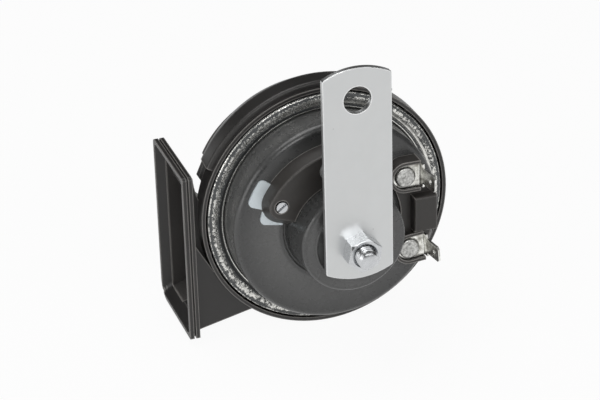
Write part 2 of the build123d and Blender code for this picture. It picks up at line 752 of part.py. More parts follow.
def spiral_plan(grown=0.0):
    """Plan of the throat channel and the spiral, grown by the wall for the outer faces."""
    outer = spiral_curve(DUCT_R + grown, DUCT_END_R + grown)
    inner = spiral_curve(DUCT_R - DUCT_START_W - grown, DUCT_END_R - DUCT_END_W - grown)
    spiral = make_face([
        outer,
        inner,
        Line(outer @ 0, inner @ 0),
        Line(outer @ 1, inner @ 1),
    ])
    channel = Pos(THROAT_CHANNEL_R / 2, 0) * Rectangle(
        THROAT_CHANNEL_R + 2 * grown, THROAT_CHANNEL_W + 2 * grown
    )
    channel = Rot(0, 0, THROAT_CHANNEL_ANGLE) * channel
    return spiral + channel + Circle(THROAT_R + MOULD_WALL + grown)


def mouth_plan(grown=0.0):
    """Plan of the flaring duct between the spiral's end and the mouth."""
    top = Spline(
        polar(DUCT_END_R - DUCT_END_W, DUCT_END),
        (MOUTH_BACK_X + FLARE_START_RUN, -DUCT_END_W / 2 - MOULD_WALL),
        (MOUTH_BACK_X + FLARE_KNEE_RUN, -DUCT_END_W / 2 + MOULD_WALL),
        (MOUTH_BACK_X + FLARE_RISE_RUN, FLARE_RISE_Z),
        (MOUTH_BACK_X, MOUTH_TOP_Z - 2 * MOULD_WALL),
    )
    if grown:
        top = beside(top, grown)
    end_x = MOUTH_BACK_X - 2 * MOULD_WALL
    back_top = top @ 1
    back_low = (end_x, mouth_low_z(end_x) + (MOULD_WALL - grown) / cos(radians(DUCT_LOW_SLOPE)))
    outer_start = polar(DUCT_END_R + grown, DUCT_END)
    return make_face([
        top,
        Line(back_top, (end_x, back_top.Y)),
        Line((end_x, back_top.Y), back_low),
        Line(back_low, outer_start),
        Line(outer_start, top @ 0),
    ])


def mouth_plane(x):
    """Plane across the mouth: local X runs from the near side to the far side, local Y is +Z."""
    return Plane(origin=(x, 0, 0), x_dir=(0, 1, 0), z_dir=(1, 0, 0))


def mouth_face(x, near_h, far_h, low_z, high_z):
    """Rectangle across the mouth at one x."""
    middle = Pos(-(near_h + far_h) / 2, (low_z + high_z) / 2)
    return mouth_plane(x) * middle * Rectangle(near_h - far_h, high_z - low_z)


def mouth_block(x, depth, inset, corner_r):
    """Block with the flange's outline, taken in by an inset, from one x towards the horn."""
    outline = mouth_face(
        x,
        MOUTH_NEAR_H - inset,
        MOUTH_FAR_H + inset,
        MOUTH_LOW_Z + inset,
        MOUTH_TOP_Z - inset,
    )
    block = extrude(outline, depth)
    edges = block.edges().filter_by(Axis.X).sort_by(lambda edge: edge.center().Y - edge.center().Z)
    block = fillet(edges[-1], MOUTH_FAR_CORNER_R - inset)
    edges = block.edges().filter_by(Axis.X).sort_by(lambda edge: edge.center().Y - edge.center().Z)
    return fillet(edges[:2], corner_r)


def mouth_flange():
    """Rectangular flange round the mouth, with a groove round its edge."""
    flange = mouth_block(MOUTH_FRONT_X, MOUTH_FLANGE_T, 0, MOUTH_CORNER_R)
    groove_x = MOUTH_FRONT_X + GROOVE_PLACE
    outer = mouth_block(groove_x, GROOVE_W, -GROOVE_CUT, MOUTH_CORNER_R)
    inner = mouth_block(groove_x, GROOVE_W, GROOVE_CUT, MOUTH_CORNER_R - GROOVE_CUT)
    return flange - (outer - inner)


def mouth_flare():
    """Tapered opening from the lip's front edge into the duct."""
    front = mouth_face(
        MOUTH_FRONT_X - CUT_OVERRUN,
        MOUTH_NEAR_H - MOUTH_LIP,
        MOUTH_FAR_H + MOUTH_LIP,
        MOUTH_LOW_Z + MOUTH_LIP,
        MOUTH_TOP_Z - MOUTH_LIP,
    )
    back = mouth_face(
        MOUTH_BACK_X + CUT_OVERRUN,
        -RIM_STEP - MOULD_WALL,
        -DUCT_DEPTH + MOULD_WALL,
        mouth_low_z(MOUTH_BACK_X) + MOULD_WALL,
        MOUTH_TOP_Z - 2 * MOULD_WALL,
    )
    front = fillet(front.vertices(), MOUTH_INNER_R)
    back = fillet(back.vertices(), MOUTH_INNER_R)
    return loft([front, back])


def band_body():
    """Outer band of the body, tapering towards the front."""
    band_inner_r = DUCT_R - MOULD_WALL
    section = FilletPolyline(
        (CUP_R - RIM_WALL, RIM_STEP),
        (BAND_R, RIM_STEP),
        (BAND_R - BAND_DRAFT, BODY_DEPTH / 2),
        (DUCT_R + MOULD_WALL, BODY_DEPTH),
        (band_inner_r, BODY_DEPTH),
        (band_inner_r, MOULD_WALL - DUCT_REAR_H),
        (CUP_R - RIM_WALL, MOULD_WALL - DUCT_REAR_H),
        radius=[0, BAND_ROUND, BAND_SIDE_ROUND, 0, 0, 0, 0],
        close=True,
    )
    face = Rot(0, -BAND_START, 0) * make_face(section)
    return revolve(face, Axis.Y, -(BAND_END - BAND_START))


def side_wall_plan(reach):
    """Plan of the flat side wall between the rim and the mouth flange."""
    slope = tan(radians(SIDE_WALL_TOP_SLOPE))
    outer_x = MOUTH_BACK_X - reach
    corner_x = MOUTH_BACK_X + SIDE_WALL_INSET
    inner_x = MOUTH_BACK_X + 2 * SIDE_WALL_INSET
    return make_face(Polyline(
        (outer_x, mouth_low_z(outer_x)),
        (inner_x, mouth_low_z(inner_x)),
        (inner_x, SIDE_WALL_TOP_Z - SIDE_WALL_INSET * slope),
        (corner_x, SIDE_WALL_TOP_Z - SIDE_WALL_INSET * slope),
        (outer_x, SIDE_WALL_TOP_Z + reach * slope),
        close=True,
    ))


def side_duct_room():
    """Air space of the duct beside the cup, behind the flat side wall."""
    plan = offset(side_wall_plan(2 * MOULD_WALL), -MOULD_WALL)
    room = raised(plan, DUCT_REAR_H - MOULD_WALL, -RIM_STEP - MOULD_WALL)
    return room - ring(0, RIM_R, DUCT_REAR_H - 2 * MOULD_WALL, 0)


def crush_ribs():
    """Ribs inside the cup that grip the crimp ring."""
    tip_r = CRIMP_R - RIB_PRESS
    root_r = CUP_R + RIM_WALL / 2
    rib = Pos((tip_r + root_r) / 2, 0) * Rectangle(root_r - tip_r, RIB_W)
    return [
        raised(Rot(0, 0, (index + 0.5) * 360 / RIB_COUNT) * rib, CUP_FLOOR_H, RIB_TOP_H)
        for index in range(RIB_COUNT)
    ]


def front_slope(depth, slope_x, slope_z):
    """Tool that removes everything in front of a sloping plane."""
    face = Plane(origin=(0, depth, 0), z_dir=(-slope_x, 1, -slope_z))
    return extrude(face * Rectangle(8 * RIM_R, 8 * RIM_R), 4 * RIM_R)


def cover_block(grown, inset, start):
    """Snail-shaped block from a depth to the cover's front faces, taken in by an inset."""
    far = -DUCT_DEPTH + inset
    spiral = raised(spiral_plan(grown), far, start)
    spiral -= front_slope(COVER_DEPTH - inset, COVER_SLOPE_X, COVER_SLOPE_Z)
    mouth = raised(mouth_plan(grown), far, start)
    mouth -= front_slope(MOUTH_ROOT_DEPTH - inset, MOUTH_SLOPE_X, COVER_SLOPE_Z)
    return spiral, mouth


def ahead_of_flange():
    """Tool that removes everything on the open side of the flange's back face."""
    return Pos(MOUTH_BACK_X - 4 * RIM_R, 0, 0) * Box(8 * RIM_R, 8 * RIM_R, 8 * RIM_R)


def trumpet_body():
    """Rear moulding: rim and cup, spiral walls, side wall and mouth flange."""
    cavity = spiral_plan() + mouth_plan()
    walls = spiral_plan(MOULD_WALL) + mouth_plan(MOULD_WALL)
    body = ring(0, RIM_R, DUCT_REAR_H, 0)
    body += raised(walls, -BODY_DEPTH, DUCT_REAR_H)
    body += band_body()
    body += raised(side_wall_plan(0), -BODY_DEPTH, -RIM_STEP)
    body += raised(mouth_plan(MOULD_WALL), DUCT_REAR_H, CUP_FLOOR_H)
    body -= ring(0, CUP_R, CUP_FLOOR_H, MOULD_WALL)
    body -= raised(cavity, -BODY_DEPTH - 1, DUCT_REAR_H)
    body -= side_duct_room()
    body -= ahead_of_flange()
    body += mouth_flange()
    body -= mouth_flare()
    body -= ring(0, THROAT_R, DUCT_REAR_H - 1, CUP_FLOOR_H + 1)
    for rib in crush_ribs():
        body += rib
    return body


def front_edges(block):
    """Edges round the front faces of a cover block, without the side walls' corners."""
    rim = block.edges().filter_by(lambda edge: edge.center().Y > BODY_DEPTH + MOULD_WALL)
    return rim.filter_by(Axis.Y, reverse=True)


def trumpet_cover():
    """Front moulding: sloping spiral cap and the deep part of the mouth's duct."""
    spiral, mouth = cover_block(MOULD_WALL, 0, -BODY_DEPTH)
    spiral = fillet(front_edges(spiral), COVER_EDGE_R)
    mouth = fillet(front_edges(mouth), COVER_EDGE_R)
    cap = spiral + mouth
    for room in cover_block(0, MOULD_WALL, 1 - BODY_DEPTH):
        cap -= room
    return cap - ahead_of_flange()


NODES = {
    "mounting_bracket": mounting_bracket(),
    "bracket_nut": bracket_nut(),
    "spacer_washer": spacer_washer(),
    "housing_pan": housing_pan(),
    "crimp_ring": crimp_ring(),
    "rear_gasket": gasket(REAR_GASKET_H),
    "front_gasket": gasket(FRONT_GASKET_H),
    "retainer_ring": retainer_ring(),
    "diaphragm": diaphragm(),
    "core_stud": core_stud(),
    "coil_bobbin": coil_bobbin(),
    "coil_winding": coil_winding(),
    "pole_plate": pole_plate(),
    "armature": armature(),
    "armature_washer": armature_washer(),
    "armature_collar": armature_collar(),
    "moving_contact_spring": moving_contact_spring(),
    "fixed_contact_carrier": fixed_contact_carrier(),
    "breaker_spacer": breaker_spacer(),
    "breaker_insulator": breaker_insulator(),
    "moving_contact": peg(CONTACT_PLACE, CONTACT_R, SPRING_H - CONTACT_T, SPRING_H),
    "fixed_contact": peg(CONTACT_PLACE, CONTACT_R, CARRIER_TOP_H, CARRIER_TOP_H + CONTACT_T),
    "adjuster_pad": adjuster_pad(),
    "terminal_block": terminal_block(),
    "terminal_upper": terminal(UPPER_RIVET, 0),
    "terminal_lower": terminal(LOWER_RIVET, LOWER_TERMINAL_TURN),
    "upper_rivet": upper_rivet(),
    "lower_rivet": lower_rivet(),
    "rivet_washer": rivet_washer(),
    "adjuster_plate": adjuster_plate(),
    "adjuster_cover": adjuster_cover(),
    "cover_rivet": cover_rivet(),
    "adjusting_screw": adjusting_screw(),
    "trumpet_seal": trumpet_seal(),
    "trumpet_body": trumpet_body(),
    "trumpet_cover": trumpet_cover(),
}

to_mount = Pos(-MOUNT_PLACE[0], -MOUNT_PLACE[1], -MOUNT_PLACE[2])
for name, shape in NODES.items():
    export_step(to_mount * shape, f"parts/{name}.step")
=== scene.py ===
import json
from math import asin, cos, pi, radians, sin, tan, tau

import bpy
from mathutils import Matrix, Vector, noise

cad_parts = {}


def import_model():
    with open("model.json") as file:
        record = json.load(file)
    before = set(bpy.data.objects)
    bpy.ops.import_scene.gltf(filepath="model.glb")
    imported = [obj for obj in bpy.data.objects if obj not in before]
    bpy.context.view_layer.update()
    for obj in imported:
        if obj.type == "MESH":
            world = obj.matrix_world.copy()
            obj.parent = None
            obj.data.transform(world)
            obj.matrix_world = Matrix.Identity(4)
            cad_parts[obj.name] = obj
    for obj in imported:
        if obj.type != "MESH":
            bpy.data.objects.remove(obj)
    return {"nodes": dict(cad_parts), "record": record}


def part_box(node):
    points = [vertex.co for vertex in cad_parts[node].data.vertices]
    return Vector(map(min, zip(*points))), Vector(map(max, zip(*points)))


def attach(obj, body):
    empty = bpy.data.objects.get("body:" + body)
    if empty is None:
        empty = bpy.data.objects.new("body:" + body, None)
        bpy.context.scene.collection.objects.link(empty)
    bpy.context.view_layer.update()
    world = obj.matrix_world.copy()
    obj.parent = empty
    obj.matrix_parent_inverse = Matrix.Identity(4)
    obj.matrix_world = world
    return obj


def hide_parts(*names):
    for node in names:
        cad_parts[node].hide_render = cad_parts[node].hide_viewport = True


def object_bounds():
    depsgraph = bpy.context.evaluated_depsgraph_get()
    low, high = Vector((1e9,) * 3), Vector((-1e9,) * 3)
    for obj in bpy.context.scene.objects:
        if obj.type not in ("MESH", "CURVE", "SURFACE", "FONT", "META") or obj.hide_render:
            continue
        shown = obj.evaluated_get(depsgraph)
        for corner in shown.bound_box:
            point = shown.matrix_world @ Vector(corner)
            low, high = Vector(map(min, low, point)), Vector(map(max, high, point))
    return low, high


# Looks of a snail car horn: painted pan with a rolled edge, moulded trumpet, bracket, terminals.
# Lengths are metres, except in the finishes and the rolled edge's section, which are millimetres.
# The horn's axis is parallel to Y. A height is measured along -Y, towards the bracket side.
# Angles in the values below are degrees about the axis, from +X towards +Z.

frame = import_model()
cad_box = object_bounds()

MM = 0.001

# Camera
CAMERA_AZIMUTH = -18.35
CAMERA_ELEVATION = 26.9
CAMERA_ROLL = -1.63
CAMERA_DISTANCE = 0.866
CAMERA_AIM = Vector((-0.0088, 0.0409, -0.0570))
CAMERA_LENS = 137.8
CAMERA_SENSOR = 36.0

# Stage
FLOOR_SIZE = 12.0
FLOOR_GAP = 0.2 * MM
FLOOR_COLOUR = (0.80, 0.80, 0.80, 1.0)
FLOOR_ROUGHNESS = 0.9
FLOOR_GLOW = 0.94  # share of plain white that the camera and reflections see
WHITE = (1.0, 1.0, 1.0, 1.0)
ROOM_LOW_Z = -0.3
ROOM_HIGH_Z = 1.0
ROOM_LOW_STRENGTH = 0.45
ROOM_HIGH_STRENGTH = 0.95

# Lamps: name, place from the camera's aim, width and height, power in watts
LAMPS = [
    ("top_light", (-0.25, 0.25, 1.2), (1.2, 0.8), 9.0),
    ("front_light", (0.7, -1.2, 0.7), (1.1, 1.1), 5.4),
    ("key_light", (-0.14, -1.18, 0.74), (0.7, 0.5), 5.4),
    ("left_light", (-1.1, -0.35, 0.25), (0.8, 0.8), 5.0),
]

# Rolled edge of the sounder
ROLL_STEPS = 900
ROLL_CREST_DENT = 0.22 * MM
ROLL_DENT_LENGTH = 2.6 * MM
ROLL_FINE_DENT = 0.07 * MM
ROLL_FINE_LENGTH = 0.8 * MM
ROLL_FINE_SINK = 0.5
# Painted highlight on the inner slope: extra bare flecks, most on the side at this angle, up to
# this much more on the wear scale.
ROLL_PAINTED_HIGHLIGHT_SIDE = 35.0
ROLL_SLOPE_PAINTED_HIGHLIGHT = 1.2
# Its section in millimetres: the lip, crest, inner slope, groove and wall are distances in from
# the outer radius, and the crest's rise is above the flange.
ROLL_LIP = 6.15
ROLL_CREST = 2.2
ROLL_CREST_RISE = 0.5
ROLL_SLOPE = (3.8, 4.6)
ROLL_GROOVE = 4.15
ROLL_WALL = 1.0
# Rows of the bracket side: distance in, height above the flange, share of the dents, and wear from
# 0 (painted) to 2 (bare). On the crest this is wear in flecks, but the rows at the lip are bare
# all round, a painted highlight line.
ROLL_NEAR_SIDE = [
    (ROLL_WALL, -ROLL_WALL, 0.0, 0.0),
    (ROLL_LIP, -ROLL_WALL, 0.0, 0.0),
    (ROLL_LIP, -0.35, 0.0, 2.0),
    (ROLL_LIP - 0.10, -0.03, 0.0, 2.0),
    (ROLL_LIP - 0.48, 0.0, 0.0, 1.8),
    (ROLL_LIP - 0.74, -0.05, 0.0, 0.0),
    (ROLL_CREST + 2.3, -0.05, 0.1, 0.0),
    (ROLL_CREST + 2.15, 0.06, 0.1, 0.6),
    (ROLL_CREST + 1.95, 0.08, 0.2, 0.3),
    (ROLL_CREST + 1.7, 0.10, 0.5, 0.60),
    (ROLL_CREST + 1.1, 0.30, 1.0, 0.84),
    (ROLL_CREST + 0.5, 0.46, 1.0, 0.92),
    (ROLL_CREST, 0.50, 0.9, 0.90),
    (ROLL_CREST - 0.5, 0.45, 0.6, 0.80),
    (ROLL_CREST - 1.0, 0.34, 0.3, 0.40),
    (0.85, 0.18, 0.2, 0.30),
    (0.36, -0.06, 0.1, 1.05),
    (0.10, -0.38, 0.0, 0.9),
    (0.0, -1.0, 0.0, 0.0),
]
# The same for the trumpet side, with heights above the ring's far face.
ROLL_FAR_SIDE = [
    (0.0, 1.0, 0.0, 0.0),
    (0.3, 0.3, 0.0, 0.0),
    (1.0, 0.0, 0.0, 0.0),
    (ROLL_GROOVE, 0.0, 0.0, 0.0),
    (ROLL_GROOVE, ROLL_WALL, 0.0, 0.0),
    (ROLL_WALL, ROLL_WALL, 0.0, 0.0),
]

# Bracket nut
NUT_FLATS = 12.0 * MM
NUT_TURN = 19.0
NUT_BORE_R = 4.02 * MM
NUT_SINK_R = 4.75 * MM
NUT_SINK_DEPTH = 0.7 * MM
NUT_FACE_SHARE = 0.97
NUT_CHAMFER_ANGLE = 30.0
NUT_STEPS = 144
NUT_CHAMFER_ROWS = 8
NUT_CHAMFER_REACH = 0.9 * MM
NUT_SHARP_ANGLE = 12.0

# Adjuster cover: an arc-shaped box with a lower end that is rounded about the screw, on a foot
# that spreads further. The pan's shelf is given by its height at two radii.
COVER_OUTER_R = 32.8 * MM
COVER_INNER_R = 20.75 * MM
COVER_START = 94.0
COVER_END = 160.0
COVER_END_R = 5.0 * MM
COVER_FOOT_END = 168.0
COVER_FOOT_END_R = 7.8 * MM
COVER_FOOT_SPREAD = 0.7 * MM
COVER_EDGE_R = 0.8 * MM
COVER_EDGE_ROWS = 5
COVER_ARC_STEPS = 60
COVER_ROUND_STEPS = 24
COVER_END_STEPS = 7
COVER_START_STEPS = 8
COVER_SHARP_ANGLE = 40.0
SCREW_GAP_R = 2.55 * MM
SCREW_GAP_DEPTH = 1.0 * MM
SCREW_GAP_STEPS = 48
SHELF_INNER_R = 22.0 * MM
SHELF_OUTER_R = 40.2 * MM
SHELF_INNER_H = -21.9 * MM
SHELF_OUTER_H = -23.2 * MM
SEAT_GAP = 0.03 * MM

# Stud thread
THREAD_PITCH = 1.25 * MM
THREAD_DEPTH = 0.66 * MM
THREAD_ROOT_FLAT = 1.25
THREAD_STEPS = 72
THREAD_ROWS_PER_PITCH = 10
STUD_CORE_R = 8.0 * MM
STUD_R = 4.0 * MM
STUD_CHAMFER = 1.1 * MM

# Sockets of the colour mode of Blender's Mix node
MIX_FACTOR = 0
MIX_FIRST_COLOUR = 6
MIX_SECOND_COLOUR = 7
MIX_COLOUR_OUT = 2

# Finishes: samples of the rounded edges and of the lighter edges, which are partly worn and partly
# a painted highlight, where that lightening starts and is full, and the waves that stand for the
# coil's rows of wire
BEVEL_SAMPLES = 6
EDGE_SAMPLES = 8
EDGE_START = 0.04
EDGE_FULL = 0.30
WIRE_ROWS_SCALE = 320.0

# Mouldings: dark and light colour, roughness, grain in millimetres, strength of the pale edges,
# which are partly rubbed and partly a painted highlight
MOULDINGS = {
    "black_moulding": (
        (0.026, 0.0235, 0.0215, 1.0), (0.038, 0.035, 0.032, 1.0), 0.42, 0.5, 0.9
    ),
    "trumpet_moulding": (
        (0.016, 0.0150, 0.0143, 1.0), (0.025, 0.0235, 0.0222, 1.0), 0.40, 0.6, 0.62
    ),
    # The duct's inner wall is a lighter copy of the trumpet's moulding: painted light in its deep,
    # shaded interior.
    "duct_moulding_painted_light": (
        (0.045, 0.042, 0.040, 1.0), (0.060, 0.057, 0.054, 1.0), 0.5, 0.6, 0.4
    ),
}

# Plain finishes of inner pieces: dark and light colour, roughness, metallic
PLAIN_FINISHES = {
    "gasket": ((0.02, 0.02, 0.02, 1.0), (0.04, 0.04, 0.04, 1.0), 0.8, 0.0),
    "inner_steel": ((0.35, 0.35, 0.36, 1.0), (0.55, 0.55, 0.55, 1.0), 0.35, 1.0),
    "inner_plastic": ((0.12, 0.08, 0.05, 1.0), (0.2, 0.14, 0.09, 1.0), 0.5, 0.0),
    "contact_metal": ((0.45, 0.30, 0.14, 1.0), (0.6, 0.42, 0.2, 1.0), 0.3, 1.0),
}


def centre(node):
    """Middle of a CAD node's box."""
    low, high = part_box(node)
    return (low + high) / 2


def height_range(node):
    """Lowest and highest height of a CAD node's box."""
    low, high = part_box(node)
    return -high.y, -low.y


AXIS = centre("crimp_ring")


def plan(radius, angle):
    """Point across the axis at a radius and an angle in radians, as (along X, along Z)."""
    return Vector((radius * cos(angle), radius * sin(angle)))


def on_axis(radius, angle, height):
    """Row-frame point at a radius, a plan angle in radians and a height."""
    return Vector((AXIS.x + radius * cos(angle), -height, AXIS.z + radius * sin(angle)))


# ---------------------------------------------------------------- materials

class Finish:
    """A procedural material whose nodes are added by short calls. Sizes are in millimetres."""

    def __init__(self, name, roughness, metallic=0.0, specular=0.5):
        self.material = bpy.data.materials.new(name)
        self.material.use_nodes = True
        self.tree = self.material.node_tree
        self.shader = self.tree.nodes["Principled BSDF"]
        self.shader.inputs["Roughness"].default_value = roughness
        self.shader.inputs["Metallic"].default_value = metallic
        self.shader.inputs["Specular IOR Level"].default_value = specular
        self.place = self.node("ShaderNodeTexCoord").outputs["Object"]
        self.normal = None

    def node(self, kind, inputs=None, **settings):
        """New node with its inputs fed and its settings made."""
        node = self.tree.nodes.new(kind)
        for key, value in settings.items():
            setattr(node, key, value)
        for key, value in (inputs or {}).items():
            self.feed(node.inputs[key], value)
        return node

    def feed(self, socket, value):
        """Links another node's output to an input, or sets the input's value."""
        if isinstance(value, bpy.types.NodeSocket):
            self.tree.links.new(value, socket)
        else:
            socket.default_value = value

    def set(self, socket, value):
        """Feeds an input of the material's shader."""
        self.feed(self.shader.inputs[socket], value)

    def noise(self, size, detail=2.0, stretch=(1.0, 1.0, 1.0), rough=0.5):
        """Cloudy value whose patches are about that many millimetres across."""
        scale = [1.0 / (size * MM * factor) for factor in stretch]
        place = self.node("ShaderNodeMapping", {"Vector": self.place, "Scale": scale})
        texture = self.node("ShaderNodeTexNoise", {
            "Vector": place.outputs["Vector"],
            "Scale": 1.0,
            "Detail": detail,
            "Roughness": rough,
        })
        return texture.outputs["Fac"]

    def cells(self, size):
        """Distance to the nearest of scattered points, one in about each cell of that size."""
        texture = self.node("ShaderNodeTexVoronoi", {
            "Vector": self.place,
            "Scale": 1.0 / (size * MM),
        })
        return texture.outputs["Distance"]

    def spread(self, value, low, high, out_low=0.0, out_high=1.0):
        """Value from low to high stretched over the output range and clamped."""
        node = self.node("ShaderNodeMapRange", {
            "Value": value,
            "From Min": low,
            "From Max": high,
            "To Min": out_low,
            "To Max": out_high,
        })
        return node.outputs["Result"]

    def math(self, operation, first, second):
        node = self.node("ShaderNodeMath", operation=operation)
        self.feed(node.inputs[0], first)
        self.feed(node.inputs[1], second)
        return node.outputs["Value"]

    def mixed(self, factor, first, second):
        """Colour between two colours."""
        node = self.node("ShaderNodeMix", data_type="RGBA")
        self.feed(node.inputs[MIX_FACTOR], factor)
        self.feed(node.inputs[MIX_FIRST_COLOUR], first)
        self.feed(node.inputs[MIX_SECOND_COLOUR], second)
        return node.outputs[MIX_COLOUR_OUT]

    def rounded(self, radius):
        """Shades sharp edges as if they were rounded, and keeps that normal."""
        bevel = self.node("ShaderNodeBevel", {"Radius": radius * MM}, samples=BEVEL_SAMPLES)
        self.normal = bevel.outputs["Normal"]

    def edges(self, reach):
        """One on outward edges, falling to nothing a reach away from them."""
        inside = self.node(
            "ShaderNodeAmbientOcclusion",
            {"Distance": reach * MM},
            samples=EDGE_SAMPLES,
            inside=True,
            only_local=True,
        )
        return self.spread(inside.outputs["AO"], 1.0 - EDGE_START, 1.0 - EDGE_FULL)

    def bump(self, height, depth, strength=1.0):
        """Raises the surface by up to a depth in millimetres."""
        node = self.node("ShaderNodeBump", {
            "Height": height,
            "Distance": depth * MM,
            "Strength": strength,
        })
        if self.normal is not None:
            self.feed(node.inputs["Normal"], self.normal)
        self.normal = node.outputs["Normal"]

    def done(self):
        """Connects the kept normal and gives the material."""
        if self.normal is not None:
            self.set("Normal", self.normal)
        return self.material


def plated_steel():
    """Zinc-plated sheet with faint rolling marks, handling haze, and near-white edges that are
    partly rubbed and partly a painted highlight.
    """
    finish = Finish("plated_steel", 0.3, metallic=1.0)
    haze = finish.noise(9.0, detail=3.0)
    grain = finish.noise(0.25, detail=2.0, stretch=(1.0, 1.0, 14.0))
    colour = finish.mixed(haze, (0.57, 0.58, 0.58, 1.0), (0.66, 0.67, 0.67, 1.0))
    pits = finish.spread(finish.cells(6.0), 0.05, 0.03)
    colour = finish.mixed(finish.math("MULTIPLY", pits, 0.5), colour, (0.30, 0.30, 0.30, 1.0))
    # Near-white edges: partly rubbed, partly a painted highlight.
    wear_and_highlight = finish.edges(0.45)
    colour = finish.mixed(wear_and_highlight, colour, (0.93, 0.94, 0.94, 1.0))
    finish.set("Base Color", colour)
    finish.set("Roughness", finish.spread(haze, 0.3, 0.7, 0.30, 0.44))
    finish.rounded(0.25)
    finish.bump(grain, 0.004, 0.35)
    finish.bump(finish.noise(2.2), 0.01, 0.25)
    return finish.done()


def turned_steel():
    """Bright plated steel of the nut, the stud and the adjusting screw."""
    finish = Finish("turned_steel", 0.24, metallic=1.0)
    haze = finish.noise(1.6, detail=3.0)
    colour = finish.mixed(haze, (0.46, 0.47, 0.485, 1.0), (0.70, 0.715, 0.73, 1.0))
    finish.set("Base Color", colour)
    finish.set("Roughness", finish.spread(haze, 0.3, 0.7, 0.18, 0.34))
    finish.rounded(0.15)
    finish.bump(finish.noise(0.5), 0.012, 0.4)
    return finish.done()


def dull_rivet():
    """Rivet heads with a stained, hammered face."""
    finish = Finish("dull_rivet", 0.4, metallic=1.0)
    stain = finish.noise(1.2, detail=4.0, rough=0.65)
    clean = finish.spread(stain, 0.35, 0.62)
    finish.set("Base Color", finish.mixed(clean, (0.25, 0.25, 0.24, 1.0), (0.62, 0.62, 0.60, 1.0)))
    finish.set("Roughness", finish.spread(stain, 0.3, 0.7, 0.45, 0.30))
    finish.rounded(0.15)
    finish.bump(finish.noise(0.5), 0.02, 0.6)
    return finish.done()


def matte_plate():
    """Pale passivated plating of the adjuster's plate."""
    finish = Finish("matte_plate", 0.5, metallic=0.45)
    haze = finish.noise(3.0, detail=3.0)
    finish.set("Base Color", finish.mixed(haze, (0.60, 0.66, 0.69, 1.0), (0.70, 0.76, 0.79, 1.0)))
    finish.set("Roughness", finish.spread(haze, 0.3, 0.7, 0.42, 0.56))
    finish.rounded(0.15)
    finish.bump(finish.noise(0.4), 0.006, 0.4)
    return finish.done()


def black_paint():
    """Satin black paint with a slight orange-peel surface, a little dust, and lighter edges and
    ridges that are partly thin paint and partly a painted highlight.
    """
    finish = Finish("black_paint", 0.34, specular=0.62)
    cloud = finish.noise(14.0, detail=3.0)
    colour = finish.mixed(cloud, (0.019, 0.0195, 0.020, 1.0), (0.034, 0.035, 0.034, 1.0))
    dust = finish.spread(finish.cells(2.4), 0.06, 0.03)
    colour = finish.mixed(finish.math("MULTIPLY", dust, 0.35), colour, (0.25, 0.25, 0.24, 1.0))
    # Lighter edges and ridges: partly thin paint, partly a painted highlight.
    wear_and_highlight = finish.edges(1.3)
    colour = finish.mixed(finish.math("MULTIPLY", wear_and_highlight, 0.75), colour, (0.17, 0.17, 0.168, 1.0))
    finish.set("Base Color", colour)
    finish.set("Roughness", finish.spread(finish.noise(3.0), 0.3, 0.7, 0.24, 0.34))
    finish.rounded(0.9)
    finish.bump(finish.noise(1.3), 0.02, 0.30)
    return finish.done()


def worn_paint():
    """Black paint on the rolled edge, thin and rubbed through to bare steel in flecks, with
    painted highlights drawn as bare steel too: lines at the lip and more flecks on one side of the
    inner slope.
    """
    finish = Finish("worn_paint", 0.35)
    flecks = finish.noise(0.85, detail=5.0, rough=0.8)
    patches = finish.noise(9.0, detail=2.0)
    cover = finish.math("ADD", flecks, finish.spread(patches, 0.3, 0.7, -0.07, 0.07))
    # The attribute carries wear and painted highlight together. At its top it paints the highlight
    # lines as bare steel.
    worn_and_highlight = finish.node("ShaderNodeAttribute", attribute_name="worn_and_highlight").outputs["Fac"]
    bare_and_highlight = finish.math("ADD", cover, finish.spread(worn_and_highlight, 0.0, 2.0, -0.26, 0.42))
    bare_and_highlight = finish.spread(bare_and_highlight, 0.49, 0.55)
    tarnish = finish.noise(0.9, detail=3.0)
    grey = finish.mixed(tarnish, (0.50, 0.50, 0.47, 1.0), (0.97, 0.96, 0.92, 1.0))
    thin_and_highlight = finish.math("MULTIPLY", finish.spread(worn_and_highlight, 0.1, 0.4), 0.6)
    dull = finish.mixed(thin_and_highlight, (0.024, 0.025, 0.025, 1.0), (0.10, 0.106, 0.108, 1.0))
    finish.set("Base Color", finish.mixed(bare_and_highlight, dull, grey))
    finish.set("Metallic", bare_and_highlight)
    finish.set("Roughness", finish.spread(bare_and_highlight, 0.0, 1.0, 0.36, 0.26))
    finish.bump(bare_and_highlight, -0.04, 0.8)
    finish.bump(finish.noise(0.6), 0.03, 0.5)
    return finish.done()


def moulding(name):
    """Black-brown moulded plastic with flow marks, fine grain and pale edges, partly rubbed and
    partly a painted highlight.
    """
    dark, light, roughness, grain, edge_wear_and_highlight = MOULDINGS[name]
    finish = Finish(name, roughness)
    flow = finish.noise(18.0, detail=3.0, stretch=(1.0, 2.0, 1.0))
    colour = finish.mixed(flow, dark, light)
    # Pale edges: partly rubbed, partly a painted highlight.
    wear_and_highlight = finish.edges(0.5)
    rubbed_and_highlight = finish.math("MULTIPLY", wear_and_highlight, edge_wear_and_highlight)
    colour = finish.mixed(rubbed_and_highlight, colour, (0.30, 0.285, 0.27, 1.0))
    finish.set("Base Color", colour)
    finish.set("Roughness", finish.spread(flow, 0.3, 0.7, roughness - 0.05, roughness + 0.07))
    finish.rounded(0.35)
    finish.bump(finish.noise(grain), 0.02, 0.35)
    return finish.done()


